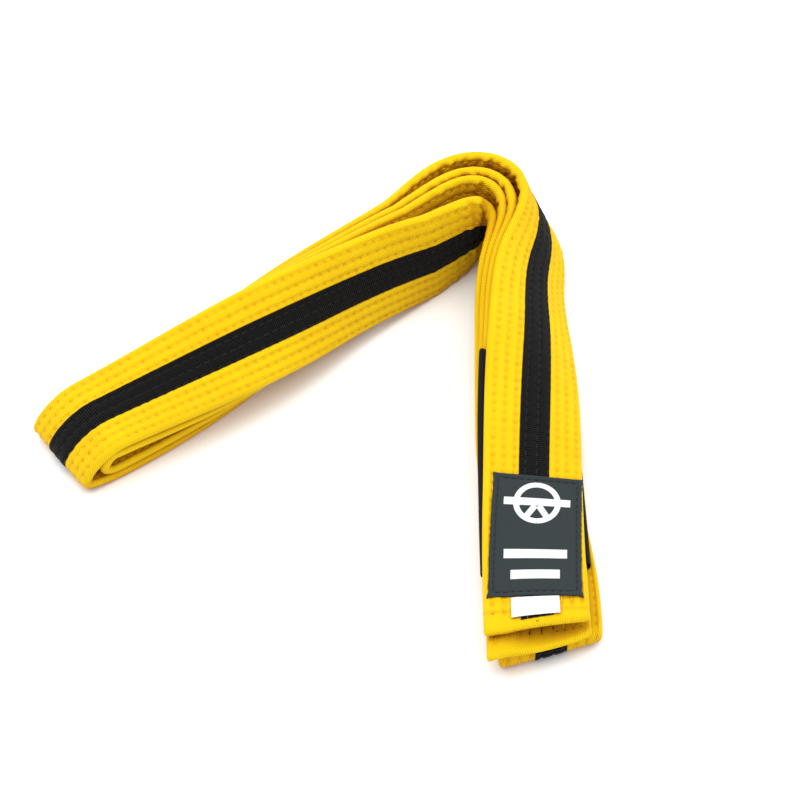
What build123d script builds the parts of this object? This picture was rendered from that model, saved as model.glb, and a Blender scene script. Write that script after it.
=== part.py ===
from build123d import *
import math
import os

# A child's grappling belt of yellow cotton twill, quilted round a cotton core, with a black tape
# sewn down the middle of its striped face. It is folded twice into a bundle of four runs, A to D.
# Run D, with the woven label, is one free end of the belt and run C, with the black rank bar, the
# other. A and B are the belt's two middle runs, joined by the middle fold.
#
# The bundle follows one guide line. A place in it is given by the distance along the guide, the
# height above the guide through the runs (negative on run A's side, positive on run D's side) and
# the offset across the belt. The guide starts flat at the left, with run A on top, stands on edge
# at the bend and ends flat at the right, with run D on top.

# ---- belt ----
BELT_WIDTH = 40.0
BELT_THICKNESS = 4.2
COVER_WALL = 1.1
PLY_THICKNESS = 0.6
PLY_GAP = 0.05
TAPE_WIDTH = 12.2
TAPE_THICKNESS = 0.45
TAPE_DEPTH = 0.05
COVER_SLIT = 0.6
THREAD_WIDTH = 0.5
THREAD_THICKNESS = 0.25
THREAD_LIFT = 0.10
FIT_GAP = 0.05
TAPE_SEAM_OFFSETS = (-5.4, -1.0, 3.6)
COVER_SEAM_OFFSETS = (-17.3, -13.3, -9.4, 7.8, 12.2, 16.5)

# ---- guide line of the folded bundle, in degrees and millimetres ----
START_X, START_Y = -109.3, -29.9
START_HEADING = 32.5
GUIDE_LENGTH = 466.0
TURNS = ((105.0, 120.0, 10.5), (243.5, 76.0, -157.5), (275.0, 80.0, 24.0))
ROLLS = ((86.0, 146.0, 54.0), (268.0, 375.0, 126.0))
START_ROLL = -90.0
GUIDE_STEP = 0.5

# ---- runs, as the middle of each run's thickness above the guide ----
LEFT_HALF_STACK = 11.0
RIGHT_HALF_STACK = 10.7
STACK_CHANGE = (257.0, 120.0)
INNER_RUN_LEFT = 4.0
INNER_RUN_MIDDLE = 2.9
INNER_RUN_CHANGE = (52.0, 70.0)
BEND_GAP_A, BEND_GAP_D = 4.4, 1.0
BEND_GAP_PLACE = (230.0, 85.0)
SIDE_SHIFT = {"A": -5.0, "B": -5.0, "C": -1.2, "D": 0.0}
SIDE_SHIFT_CHANGE = (410.0, 90.0)

# ---- folds and free ends ----
LEFT_FOLD_START = 21.5
OUTER_LOOP_REACH = 14.0
INNER_LOOP_REACH = 5.0
MIDDLE_FOLD_START = 463.0
LABEL_END = 467.0
BAR_END = 472.0
HEM_LENGTH = 4.0
END_SEAM_INSET = 3.2
TACK_INSET, TACK_LENGTH = 2.6, 2.2

# ---- rank bar, label and size tab ----
BAR_START, BAR_STOP = 347.0, 440.0
BAR_WALL = 0.4
BAR_SEAM_INSET = 3.0
BAR_SEAM_LIFT = 0.02
LABEL_START, LABEL_STOP = 399.0, 455.0
LABEL_WIDTH = 36.0
LABEL_THICKNESS = 0.6
LABEL_SEAM_INSET = 2.0
TAB_LENGTH, TAB_WIDTH, TAB_THICKNESS = 7.5, 18.0, 0.4
TAB_OFFSET = 0.5
TAB_LIFT = 0.4
TAB_GAP = 0.5

SECTION_STEP = 16.0
BEND_SECTION_STEP = 6.0
BEND_SPAN = (190.0, 300.0)
FOLD_SECTIONS = 9

HALF_WIDTH = BELT_WIDTH / 2
HALF_THICKNESS = BELT_THICKNESS / 2
CORE_WIDTH = BELT_WIDTH - 2 * COVER_WALL
CORE_THICKNESS = BELT_THICKNESS - 2 * COVER_WALL
THREAD_RISE = HALF_THICKNESS + THREAD_LIFT + THREAD_THICKNESS / 2


def ease(t):
    """Goes smoothly from 0 to 1 while t goes from 0 to 1."""
    t = min(max(t, 0.0), 1.0)
    return t * t * (3 - 2 * t)


def stepped(s, steps):
    """Adds up steps of (centre, length, amount), each spread smoothly over its length."""
    return sum(amount * ease((s - centre) / length + 0.5) for centre, length, amount in steps)


def half_stack(s):
    change = RIGHT_HALF_STACK - LEFT_HALF_STACK
    return LEFT_HALF_STACK + stepped(s, [(*STACK_CHANGE, change)])


def bend_bump(s):
    centre, reach = BEND_GAP_PLACE
    return 1 - ease(abs(s - centre) / reach)


def run_height(run, s):
    """Height of the middle of a run's thickness above the guide."""
    outer = half_stack(s) - HALF_THICKNESS
    inner = INNER_RUN_LEFT + stepped(s, [(*INNER_RUN_CHANGE, INNER_RUN_MIDDLE - INNER_RUN_LEFT)])
    heights = {
        "A": -outer - BEND_GAP_A * bend_bump(s),
        "B": -inner,
        "C": inner,
        "D": outer + BEND_GAP_D * bend_bump(s),
    }
    return heights[run]


def run_offset(run, s):
    """Sideways shift of a run where the bundle fans out towards its right end."""
    return stepped(s, [(*SIDE_SHIFT_CHANGE, SIDE_SHIFT[run])])


def guide_axes(s):
    """Directions along the guide, up through the runs and across the belt."""
    heading = math.radians(START_HEADING + stepped(s, TURNS))
    roll = math.radians(START_ROLL + stepped(s, ROLLS))
    along = Vector(math.cos(heading), math.sin(heading), 0)
    sideways = Vector(-math.sin(heading), math.cos(heading), 0)
    up = Vector(0, 0, 1)
    through = sideways * math.cos(roll) + up * math.sin(roll)
    across = up * math.cos(roll) - sideways * math.sin(roll)
    return along, through, across


def trace_guide():
    """The guide's plan, as points GUIDE_STEP apart."""
    points = [Vector(START_X, START_Y, 0)]
    for i in range(int(GUIDE_LENGTH / GUIDE_STEP) + 40):
        along, _, _ = guide_axes((i + 0.5) * GUIDE_STEP)
        points.append(points[-1] + along * GUIDE_STEP)
    return points


GUIDE = trace_guide()


def guide_point(s):
    """The guide at distance s, raised until the lowest edge of the bundle rests on the ground."""
    position = min(max(s, 0.0) / GUIDE_STEP, len(GUIDE) - 2.0)
    i = int(position)
    plan = GUIDE[i] + (GUIDE[i + 1] - GUIDE[i]) * (position - i)
    _, through, across = guide_axes(s)
    lowest = min(
        through.Z * (run_height(run, s) + side * HALF_THICKNESS) - abs(across.Z) * HALF_WIDTH
        for run, side in (("A", -1), ("D", 1))
    )
    return Vector(plan.X, plan.Y, -lowest)


def run_plane(run, s):
    """Plane across a run: its x runs across the belt and its y towards the striped face."""
    _, through, across = guide_axes(s)
    origin = guide_point(s) + through * run_height(run, s) + across * run_offset(run, s)
    return Plane(origin=origin, x_dir=across, z_dir=across.cross(through * STRIPED_SIDE[run]))


def fold_planes(first, second, s, reach, outside):
    """Planes round a hairpin fold between two runs; outside is 1 where its outside is striped."""
    along, through, across = guide_axes(s)
    outward = along if s > GUIDE_LENGTH / 2 else along * -1
    rise = (run_height(second, s) - run_height(first, s)) / 2
    first_run = guide_point(s) + through * run_height(first, s) + across * run_offset(first, s)
    centre = first_run + through * rise
    planes = []
    for i in range(FOLD_SECTIONS):
        angle = math.pi * i / (FOLD_SECTIONS - 1)
        up, out = math.cos(angle), math.sin(angle)
        origin = centre - through * (rise * up) + outward * (reach * out)
        normal = (outward * (rise * out) - through * (reach * up)).normalized()
        planes.append(Plane(origin=origin, x_dir=across, z_dir=across.cross(normal * outside)))
    return planes


def run_places(start, stop):
    """Distances of the cross-sections along a run, closer together round the bend."""
    places = [start]
    while places[-1] < stop - 0.01:
        here = places[-1]
        fine = BEND_SPAN[0] - 1 < here < BEND_SPAN[1]
        step = BEND_SECTION_STEP if fine else SECTION_STEP
        places.append(here + step if here + 1.5 * step < stop else stop)
    return places


# The side of each run that is striped: the outer face of runs A and D, and between B and C.
STRIPED_SIDE = {"A": -1, "B": 1, "C": -1, "D": 1}
RUN_ENDS = {
    "A": (LEFT_FOLD_START, MIDDLE_FOLD_START),
    "B": (LEFT_FOLD_START, MIDDLE_FOLD_START),
    "C": (LEFT_FOLD_START, BAR_END - HEM_LENGTH),
    "D": (LEFT_FOLD_START, LABEL_END - HEM_LENGTH),
}
MIDDLE_REACH = (run_height("B", MIDDLE_FOLD_START) - run_height("A", MIDDLE_FOLD_START)) / 2
RUN_PLANES = {run: [run_plane(run, s) for s in run_places(*ends)] for run, ends in RUN_ENDS.items()}
OUTER_LOOP = fold_planes("A", "D", LEFT_FOLD_START, OUTER_LOOP_REACH, 1)
INNER_LOOP = fold_planes("B", "C", LEFT_FOLD_START, INNER_LOOP_REACH, -1)
MIDDLE_FOLD = fold_planes("A", "B", MIDDLE_FOLD_START, MIDDLE_REACH, 1)

# The belt from its label end to its bar end, as stretches of cross-section planes.
STRETCHES = (
    RUN_PLANES["D"][::-1],
    OUTER_LOOP[::-1],
    RUN_PLANES["A"],
    MIDDLE_FOLD,
    RUN_PLANES["B"][::-1],
    INNER_LOOP,
    RUN_PLANES["C"],
)


def profile_face(plane, width, thickness, across=0.0, up=0.0):
    """A rectangle on a cross-section plane."""
    with BuildSketch(plane) as profile:
        with Locations((across, up)):
            Rectangle(width, thickness)
    return profile.sketch.face()


def cover_face(plane):
    """The cover wrapped round its core, with its edges meeting under a channel for the tape."""
    tape_channel = 2 * (TAPE_DEPTH + TAPE_THICKNESS + FIT_GAP)
    with BuildSketch(plane) as profile:
        Rectangle(BELT_WIDTH, BELT_THICKNESS)
        Rectangle(CORE_WIDTH, CORE_THICKNESS, mode=Mode.SUBTRACT)
        with Locations((0, HALF_THICKNESS)):
            Rectangle(TAPE_WIDTH + 2 * FIT_GAP, tape_channel, mode=Mode.SUBTRACT)
            Rectangle(COVER_SLIT, 2 * COVER_WALL, mode=Mode.SUBTRACT)
    return profile.sketch.face()


def follow_belt(profile):
    """A solid of one section, profile(plane), along the whole belt: the side faces of its
    stretches, joined end to end and closed at the belt's two ends."""
    skin = [profile(STRETCHES[0][0]), profile(STRETCHES[-1][-1])]
    for planes in STRETCHES:
        stretch = loft([profile(plane) for plane in planes], mode=Mode.PRIVATE)
        skin += stretch.faces().filter_by(GeomType.PLANE, reverse=True)
    add(Solid(Shell(skin)))


def strip(width, thickness, across, up):
    """A flat strip along the whole belt."""
    follow_belt(lambda plane: profile_face(plane, width, thickness, across, up))


def thread_row(offset):
    """A row of lockstitch along the belt: its top thread on one face, its bobbin on the other."""
    for side in (1, -1):
        strip(THREAD_WIDTH, THREAD_THICKNESS, offset, side * THREAD_RISE)


def patch(run, start, stop, width, thickness, across, up, mode=Mode.ADD):
    """A flat strip that lies on or round one run, from start to stop along the guide."""
    planes = [run_plane(run, s) for s in run_places(start, stop)]
    loft([profile_face(plane, width, thickness, across, up) for plane in planes], mode=mode)


def cross_seam(run, start, width, rise=THREAD_RISE):
    """A row of stitches across a run, with thread on both faces."""
    for side in (1, -1):
        patch(run, start, start + THREAD_WIDTH, width, THREAD_THICKNESS, 0, side * rise)


def write(piece, name):
    piece.part.label = name
    export_step(piece.part, f"parts/{name}.step")


os.makedirs("parts", exist_ok=True)

# Outer cover: twill folded round the core, solid where its two ends are turned in and hemmed.
with BuildPart() as twill_cover:
    follow_belt(cover_face)
    for run in "CD":
        hem_start = RUN_ENDS[run][1]
        patch(run, hem_start, hem_start + HEM_LENGTH, BELT_WIDTH, BELT_THICKNESS, 0, 0)
write(twill_cover, "twill_cover")

# Core: three plies of cotton that run the belt's whole length inside the cover.
for number in (1, 2, 3):
    ply_rise = (number - 2) * (PLY_THICKNESS + PLY_GAP)
    with BuildPart() as core_ply:
        strip(CORE_WIDTH - 2 * FIT_GAP, PLY_THICKNESS, 0, ply_rise)
    write(core_ply, f"core_ply_{number}")

# Ribbed tape in the middle of the striped face.
tape_rise = HALF_THICKNESS - TAPE_DEPTH - TAPE_THICKNESS / 2
with BuildPart() as stripe_tape:
    strip(TAPE_WIDTH, TAPE_THICKNESS, 0, tape_rise)
write(stripe_tape, "stripe_tape")

# Quilting rows in yellow thread and the rows in black thread that hold the tape.
for number, offset in enumerate(COVER_SEAM_OFFSETS, 1):
    with BuildPart() as cover_seam:
        thread_row(offset)
    write(cover_seam, f"cover_seam_{number}")
for number, offset in enumerate(TAPE_SEAM_OFFSETS, 1):
    with BuildPart() as tape_seam:
        thread_row(offset)
    write(tape_seam, f"tape_seam_{number}")

# Hem stitches across the two free ends, and the short tack in the label end's hem.
with BuildPart() as label_end_seam:
    cross_seam("D", LABEL_END - END_SEAM_INSET, BELT_WIDTH - 2)
write(label_end_seam, "label_end_seam")
with BuildPart() as bar_end_seam:
    cross_seam("C", BAR_END - END_SEAM_INSET, BELT_WIDTH - 2)
write(bar_end_seam, "bar_end_seam")
with BuildPart() as hem_tack:
    tack_start = LABEL_END - TACK_INSET
    patch("D", tack_start, tack_start + TACK_LENGTH, THREAD_WIDTH, THREAD_THICKNESS, 0, THREAD_RISE)
write(hem_tack, "hem_tack")

# Rank bar: a sleeve sewn round run C near its free end.
bar_clearance = THREAD_LIFT + THREAD_THICKNESS + FIT_GAP
bar_inner = (BELT_WIDTH + 4 * FIT_GAP, BELT_THICKNESS + 2 * bar_clearance)
bar_outer = (bar_inner[0] + 2 * BAR_WALL, bar_inner[1] + 2 * BAR_WALL)
with BuildPart() as rank_bar:
    patch("C", BAR_START, BAR_STOP, *bar_outer, 0, 0)
    patch("C", BAR_START, BAR_STOP, *bar_inner, 0, 0, mode=Mode.SUBTRACT)
write(rank_bar, "rank_bar")

# The stitch rows that hold the sleeve at its two ends.
bar_seam_rise = bar_outer[1] / 2 + BAR_SEAM_LIFT + THREAD_THICKNESS / 2
bar_seam_starts = (BAR_START + BAR_SEAM_INSET, BAR_STOP - BAR_SEAM_INSET)
for number, start in enumerate(bar_seam_starts, 1):
    with BuildPart() as bar_seam:
        cross_seam("C", start, BELT_WIDTH - 2, bar_seam_rise)
    write(bar_seam, f"bar_seam_{number}")

# Woven label on the striped face of run D, and the thread that runs round its border.
label_rise = HALF_THICKNESS + bar_clearance + LABEL_THICKNESS / 2
with BuildPart() as woven_label:
    patch("D", LABEL_START, LABEL_STOP, LABEL_WIDTH, LABEL_THICKNESS, 0, label_rise)
write(woven_label, "woven_label")

border_rise = label_rise + (LABEL_THICKNESS + THREAD_THICKNESS) / 2 + THREAD_LIFT
border_start, border_stop = LABEL_START + LABEL_SEAM_INSET, LABEL_STOP - LABEL_SEAM_INSET
border_width = LABEL_WIDTH - 2 * LABEL_SEAM_INSET
opening_start, opening_stop = border_start + THREAD_WIDTH, border_stop - THREAD_WIDTH
opening_size = (border_width - 2 * THREAD_WIDTH, 3 * THREAD_THICKNESS)
with BuildPart() as label_seam:
    patch("D", border_start, border_stop, border_width, THREAD_THICKNESS, 0, border_rise)
    patch("D", opening_start, opening_stop, *opening_size, 0, border_rise, mode=Mode.SUBTRACT)
write(label_seam, "label_seam")

# Size tab: a folded ribbon whose upper edge is tucked under the label, so that it flips up.
tab_start = LABEL_STOP + TAB_GAP
tab_rise = HALF_THICKNESS + TAB_LIFT + TAB_THICKNESS / 2
with BuildPart() as size_tab:
    patch("D", tab_start, tab_start + TAB_LENGTH, TAB_WIDTH, TAB_THICKNESS, TAB_OFFSET, tab_rise)
write(size_tab, "size_tab")
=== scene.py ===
import math

import bpy
import numpy as np
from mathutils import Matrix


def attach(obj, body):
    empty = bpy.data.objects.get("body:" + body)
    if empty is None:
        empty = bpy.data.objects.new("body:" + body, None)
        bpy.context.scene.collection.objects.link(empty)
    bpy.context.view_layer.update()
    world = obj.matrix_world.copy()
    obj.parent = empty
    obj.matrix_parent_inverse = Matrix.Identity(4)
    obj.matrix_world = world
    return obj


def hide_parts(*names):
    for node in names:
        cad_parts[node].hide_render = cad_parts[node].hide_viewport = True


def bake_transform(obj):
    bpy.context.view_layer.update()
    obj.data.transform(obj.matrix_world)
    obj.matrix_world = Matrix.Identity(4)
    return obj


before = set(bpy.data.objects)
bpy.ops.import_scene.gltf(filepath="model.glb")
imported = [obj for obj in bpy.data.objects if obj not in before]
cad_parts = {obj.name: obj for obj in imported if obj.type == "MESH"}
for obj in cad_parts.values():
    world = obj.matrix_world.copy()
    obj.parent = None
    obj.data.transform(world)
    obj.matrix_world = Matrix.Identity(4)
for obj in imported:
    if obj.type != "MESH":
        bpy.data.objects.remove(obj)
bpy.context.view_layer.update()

# The belt is one strip of quilted cotton, folded into four runs, A to D. A place on it is given in
# belt coordinates: u along the belt from its label end, w across it and t through its thickness,
# towards its striped face. The folded bundle follows one guide line, and a place in the bundle is
# given by the distance s along the guide, w across the belt and the height n through the runs.
# Lengths are in millimetres and become metres where a mesh is made.
MM = 0.001

# ---- belt, as in the CAD model ----
HALF_WIDTH = 20.0
HALF_THICKNESS = 2.1
TAPE_HALF_WIDTH = 6.1
TAPE_THICKNESS = 0.45
SEAM_ROWS = (-17.3, -13.3, -9.4, 7.8, 12.2, 16.5)
TAPE_ROWS = (-5.4, -1.0, 3.6)
STITCH = 4.0

# ---- guide line, as in the CAD model, with the crosswise curl that the cloth takes ----
START = (-109.3, -29.9)
START_HEADING = 32.5
GUIDE_LENGTH = 466.0
TURNS = ((105.0, 120.0, 10.5), (243.5, 76.0, -157.5), (275.0, 80.0, 24.0))
ROLLS = ((86.0, 146.0, 54.0), (268.0, 375.0, 126.0))
START_ROLL = -90.0
EXTRA_ROLL = (278.0, 58.0, 7.0)
CURLS = ((190.0, 130.0, -0.0085), (316.0, 95.0, 0.014))
TRACE_STEP = 0.25
TRACE_REACH = 60.0

# ---- runs, from the inside of the bend to its outside ----
RUNS = "ABCD"
HALF_STACK = (11.0, 10.4)
STACK_CHANGE = (257.0, 120.0)
INNER_RUN_LEFT, INNER_RUN_RIGHT = 4.4, 2.8
INNER_RUN_CHANGE = (52.0, 60.0)
BEND_SPREADS = {"A": (218.0, 84.0, 46.0, -9.2), "D": (228.0, 52.0, 42.0, 3.8)}
SHOULDER_PRESS = (276.0, 52.0, 0.17)
SIDE_SHIFT = {"A": -6.2, "B": -6.2, "C": -1.2, "D": 0.0}
SIDE_SHIFT_CHANGE = (410.0, 90.0)
END_LEAN = {"A": 0.33, "B": 0.33, "C": 0.30, "D": 0.16}
END_LEAN_CHANGE = (435.0, 70.0)
LOOP_LEAN, LOOP_LEAN_REACH = -0.19, 70.0
RUN_STEP = 0.5
END_SAG = {"B": -1.3, "C": -2.6, "D": 1.9}
END_SAG_START, END_SAG_LENGTH = 425.0, 40.0
C_EDGE_RISE = 1.0

# ---- folds and free ends ----
LABEL_END, BAR_END = 466.5, 471.4
OUTER_LOOP = (30.0, 20.0, 4.5)
INNER_LOOP = (24.0, 5.5, 1.2)
MIDDLE_FOLD = (463.4, 3.0, 0.0)


def ease(t):
    """Goes smoothly from 0 to 1 while t goes from 0 to 1."""
    t = np.clip(t, 0.0, 1.0)
    return t * t * (3 - 2 * t)


def stepped(s, steps):
    return sum(amount * ease((s - centre) / length + 0.5) for centre, length, amount in steps)


def bump(s, centre, reach):
    """A smooth rise to 1 at centre, back to 0 at reach on both sides of it."""
    return 1 - ease(np.abs(s - centre) / reach)


def half_stack(s):
    left, right = HALF_STACK
    return left + stepped(s, [(*STACK_CHANGE, right - left)])


def spread(run, s):
    """How far a run stands off its neighbours round the bend."""
    centre, before, after, amount = BEND_SPREADS[run]
    return amount * bump(s, centre, np.where(s < centre, before, after))


def run_height(run, s):
    """Height of the middle of a run's thickness above the guide."""
    press = 1 - SHOULDER_PRESS[2] * bump(s, *SHOULDER_PRESS[:2])
    outer = (half_stack(s) - HALF_THICKNESS) * press
    inner_step = (*INNER_RUN_CHANGE, INNER_RUN_RIGHT - INNER_RUN_LEFT)
    inner = (INNER_RUN_LEFT + stepped(s, [inner_step])) * press
    if run == "A":
        return -outer + spread("A", s)
    if run == "B":
        return -inner
    if run == "C":
        return inner
    return outer + spread("D", s)


def run_shift(run, s):
    return stepped(s, [(*SIDE_SHIFT_CHANGE, SIDE_SHIFT[run])])


def run_lean(run, s):
    """How far a crosswise line of the run slants, in mm along the guide for each mm across."""
    end = stepped(s, [(*END_LEAN_CHANGE, END_LEAN[run])])
    return end + LOOP_LEAN * (1 - ease(s / LOOP_LEAN_REACH))


def guide_axes(s):
    """Directions along the guide, through the runs and across the belt, one row for each s."""
    heading = np.radians(START_HEADING + stepped(s, TURNS))
    roll = np.radians(START_ROLL + stepped(s, ROLLS) + EXTRA_ROLL[2] * bump(s, *EXTRA_ROLL[:2]))
    zero = np.zeros_like(heading)
    along = np.stack([np.cos(heading), np.sin(heading), zero], -1)
    sideways = np.stack([-np.sin(heading), np.cos(heading), zero], -1)
    up = np.array([0.0, 0.0, 1.0])
    through = sideways * np.cos(roll)[..., None] + up * np.sin(roll)[..., None]
    across = up * np.cos(roll)[..., None] - sideways * np.sin(roll)[..., None]
    return along, through, across


def curl(s):
    return sum(amount * bump(s, centre, reach) for centre, reach, amount in CURLS)


def bundle_offset(s, w, n):
    """Where (w, n) lies from the guide, with the crosswise curl of the runs."""
    _, through, across = guide_axes(s)
    bend = curl(s)
    bend = np.where(np.abs(bend) < 1e-6, 1e-6, bend)
    sine, cosine = np.sin(bend * w), np.cos(bend * w)
    sideways = sine / bend + n * sine
    upwards = (cosine - 1) / bend + n * cosine
    return across * sideways[..., None] + through * upwards[..., None]


def trace_guide():
    """The guide at even steps: its distances and its points, with the bundle on the ground."""
    count = int(round((GUIDE_LENGTH + 2 * TRACE_REACH) / TRACE_STEP))
    s = -TRACE_REACH + TRACE_STEP * np.arange(count + 1)
    along, _, _ = guide_axes(s[:-1] + TRACE_STEP / 2)
    plan = np.vstack([np.zeros(3), np.cumsum(along * TRACE_STEP, axis=0)])
    plan += np.array([*START, 0.0]) - plan[int(round(TRACE_REACH / TRACE_STEP))]
    lowest = np.full_like(s, np.inf)
    for run, side in (("A", -1), ("D", 1)):
        for w in (-HALF_WIDTH, 0.0, HALF_WIDTH):
            height = run_height(run, s) + side * HALF_THICKNESS
            offset = bundle_offset(s, np.full_like(s, w), height)
            lowest = np.minimum(lowest, offset[:, 2])
    plan[:, 2] = -lowest
    return s, plan


GUIDE_S, GUIDE_PLAN = trace_guide()


def in_bundle(s, w, n):
    """The point at bundle coordinates (s, w, n)."""
    guide = np.stack([np.interp(s, GUIDE_S, GUIDE_PLAN[:, i]) for i in range(3)], -1)
    return guide + bundle_offset(s, w, n)


def run_chain(run, start, stop):
    """A run as a table, with one row for each place along it: s, n, side shift and lean, and from
    column SHARES_AT its share in each run."""
    count = int(abs(stop - start) / RUN_STEP) + 1
    s = np.linspace(start, stop, count)
    shares = np.zeros((count, len(RUNS)))
    shares[:, RUNS.index(run)] = 1
    return np.column_stack([s, run_height(run, s), run_shift(run, s), run_lean(run, s), shares])


def fold_chain(first, second, start, reach, sag, outward):
    """A hairpin fold from one run to another, whose nose sags by sag through the runs."""
    turn = np.linspace(0, math.pi, 41)[1:-1]
    share = (1 - np.cos(turn)) / 2
    low, high = run_height(first, start), run_height(second, start)
    middle, rise = (low + high) / 2, (high - low) / 2
    s = start + outward * reach * np.sin(turn)
    n = middle - rise * np.cos(turn) * (1 - 0.2 * np.sin(turn) ** 2) + sag * np.sin(turn) ** 2
    shift = run_shift(first, start) * (1 - share) + run_shift(second, start) * share
    lean = run_lean(first, start) * (1 - share) + run_lean(second, start) * share
    shares = np.zeros((len(turn), len(RUNS)))
    shares[:, RUNS.index(first)] = 1 - share
    shares[:, RUNS.index(second)] = share
    return np.column_stack([s, n, shift, lean, shares])


SHARES_AT = 4
CHAIN = np.vstack([
    run_chain("D", LABEL_END, OUTER_LOOP[0]),
    fold_chain("A", "D", *OUTER_LOOP, -1)[::-1],
    run_chain("A", OUTER_LOOP[0], MIDDLE_FOLD[0]),
    fold_chain("A", "B", *MIDDLE_FOLD, 1),
    run_chain("B", MIDDLE_FOLD[0], INNER_LOOP[0]),
    fold_chain("B", "C", *INNER_LOOP, -1),
    run_chain("C", INNER_LOOP[0], BAR_END),
])
CHAIN_POINTS = in_bundle(CHAIN[:, 0], CHAIN[:, 2], CHAIN[:, 1])
CHAIN_STEPS = np.linalg.norm(np.diff(CHAIN_POINTS, axis=0), axis=1)
CHAIN_U = np.concatenate([[0.0], np.cumsum(CHAIN_STEPS)])
BELT_LENGTH = CHAIN_U[-1]
SLOPE = np.gradient(CHAIN[:, :2], CHAIN_U, axis=0)
SLOPE /= np.linalg.norm(SLOPE, axis=1)[:, None]


def along_belt(u, values):
    return np.interp(u, CHAIN_U, values)


def sag_of_runs(u, w):
    """How far the cloth of each run bows out of flat at the bundle's right end."""
    s = along_belt(u, CHAIN[:, 0])
    near_end = ease((s - END_SAG_START) / END_SAG_LENGTH)
    place = (w + 5.0) / HALF_WIDTH
    bow = np.clip(1 - place**2 * (1 + 0.5 * place), 0, 1)
    rise = ease((-w - 12.0) / 9.0)
    share = {run: along_belt(u, CHAIN[:, SHARES_AT + i]) for i, run in enumerate(RUNS)}
    sag = END_SAG["D"] * share["D"] + END_SAG["C"] * share["C"] + END_SAG["B"] * share["B"]
    return near_end * (bow * sag + C_EDGE_RISE * rise * share["C"])


def on_belt(u, w, t):
    """The point at belt coordinates (u, w, t)."""
    u, w, t = np.broadcast_arrays(np.asarray(u, float), np.asarray(w, float), np.asarray(t, float))
    slope_s, slope_n = along_belt(u, SLOPE[:, 0]), along_belt(u, SLOPE[:, 1])
    s = along_belt(u, CHAIN[:, 0]) + t * slope_n + along_belt(u, CHAIN[:, 3]) * w
    n = along_belt(u, CHAIN[:, 1]) - t * slope_s + sag_of_runs(u, w)
    return in_bundle(s, w + along_belt(u, CHAIN[:, 2]), n)


# ---- relief of the quilted cover ----
EDGE_RADIUS = 2.1
PUFF, SEAM_DEPTH, HOLE_DEPTH = 0.36, 0.16, 0.40
TAPE_RISE, TAPE_PUFF, TAPE_HOLE_DEPTH, TAPE_SINK = 0.32, 0.46, 0.24, 0.24
TAPE_BED = 0.45
LOOSE_PINCH, BEND_PINCH, BEND_PINCH_PLACE = 0.13, 0.80, (238, 66)
HEM_SEAM, HEM_SLANT = 4.2, 0.11
HEM_LENGTH = 5.0
HEM_DEPTH = 0.22
CREASE_PLACE, CREASE_SLANT, CREASE_DEPTH = 10.6, 0.05, 0.55
TOP_RUN_END = 500.0
PUCKER_WAVES = ((4.6, 0.55), (6.1, 0.8), (8.9, 0.7), (14.3, 0.5))
RANDOM = np.random.default_rng(7)
UNEVENNESS = RANDOM.uniform(0.6, 1.4, 997)
PUCKER_PHASES = RANDOM.uniform(0, 2 * math.pi, (len(PUCKER_WAVES), 2))


def edge_profile(w):
    """Half the belt's thickness at w, rounded over at its two edges."""
    past = np.clip((np.abs(w) - (HALF_WIDTH - EDGE_RADIUS)) / EDGE_RADIUS, 0, 1)
    return HALF_THICKNESS * np.sqrt(np.clip(1 - past**2, 0, 1))


ALL_ROWS = np.array(sorted(SEAM_ROWS + TAPE_ROWS))


def channel_share(w, rows):
    """How far between its two neighbouring rows a place is: 0 at a row, 1 half way."""
    limits = np.array([-HALF_WIDTH - 1.0, *rows, HALF_WIDTH + 1.0])
    index = np.clip(np.searchsorted(limits, w) - 1, 0, len(limits) - 2)
    share = (w - limits[index]) / (limits[index + 1] - limits[index])
    return np.sqrt(np.clip(4 * share * (1 - share), 0, 1)), index


def pucker(u, w, side):
    """Small irregular waves along the channels, which shift a little from one to the next."""
    wave = 0.0
    for (length, amount), phases in zip(PUCKER_WAVES, PUCKER_PHASES):
        slant = w * (0.6 + 0.4 * math.sin(7 * length))
        phase = phases[0 if side > 0 else 1]
        wave = wave + amount * np.sin(2 * math.pi * (u + slant) / length + phase)
    return wave / 2.0


def pinch(u, side):
    """How strongly the cloth is gathered: most on the inside of the bundle's bend."""
    s = along_belt(u, CHAIN[:, 0])
    facing = along_belt(u, SLOPE[:, 0]) * side
    inside = np.clip(facing, 0, 1)
    return LOOSE_PINCH + BEND_PINCH * inside * bump(s, *BEND_PINCH_PLACE)


def needle_holes(u, w):
    """About 1 at each needle hole of the nearest stitch row, falling to 0 away from it. Some holes
    are pulled in more than others."""
    row = np.argmin(np.abs(np.asarray(w)[..., None] - ALL_ROWS), axis=-1)
    distance = np.asarray(w) - ALL_ROWS[row]
    stitch = np.round(u / STITCH).astype(int)
    depth = UNEVENNESS[(stitch * 7 + row * 131) % len(UNEVENNESS)]
    along = (u - stitch * STITCH) / 0.9
    return np.exp(-(along**2) - (distance / 0.75) ** 2) * depth


def cover_height(u, w, side, sewn=1.0):
    """Height of the cover's face above the middle of the belt, on one side."""
    share, channel = channel_share(w, ALL_ROWS)
    pillow = UNEVENNESS[(np.round(u / STITCH - 0.5).astype(int) * 3 + channel * 61) % len(UNEVENNESS)]
    between = np.sin(math.pi * u / STITCH) ** 2
    relief = PUFF * share * (0.82 + 0.22 * between * pillow) - SEAM_DEPTH * (1 - share)
    relief = relief - HOLE_DEPTH * needle_holes(u, w)
    relief = relief + pinch(u, side) * pucker(u, w, side) * share
    fade = edge_profile(w) / HALF_THICKNESS
    return edge_profile(w) + relief * sewn * fade**2


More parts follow.
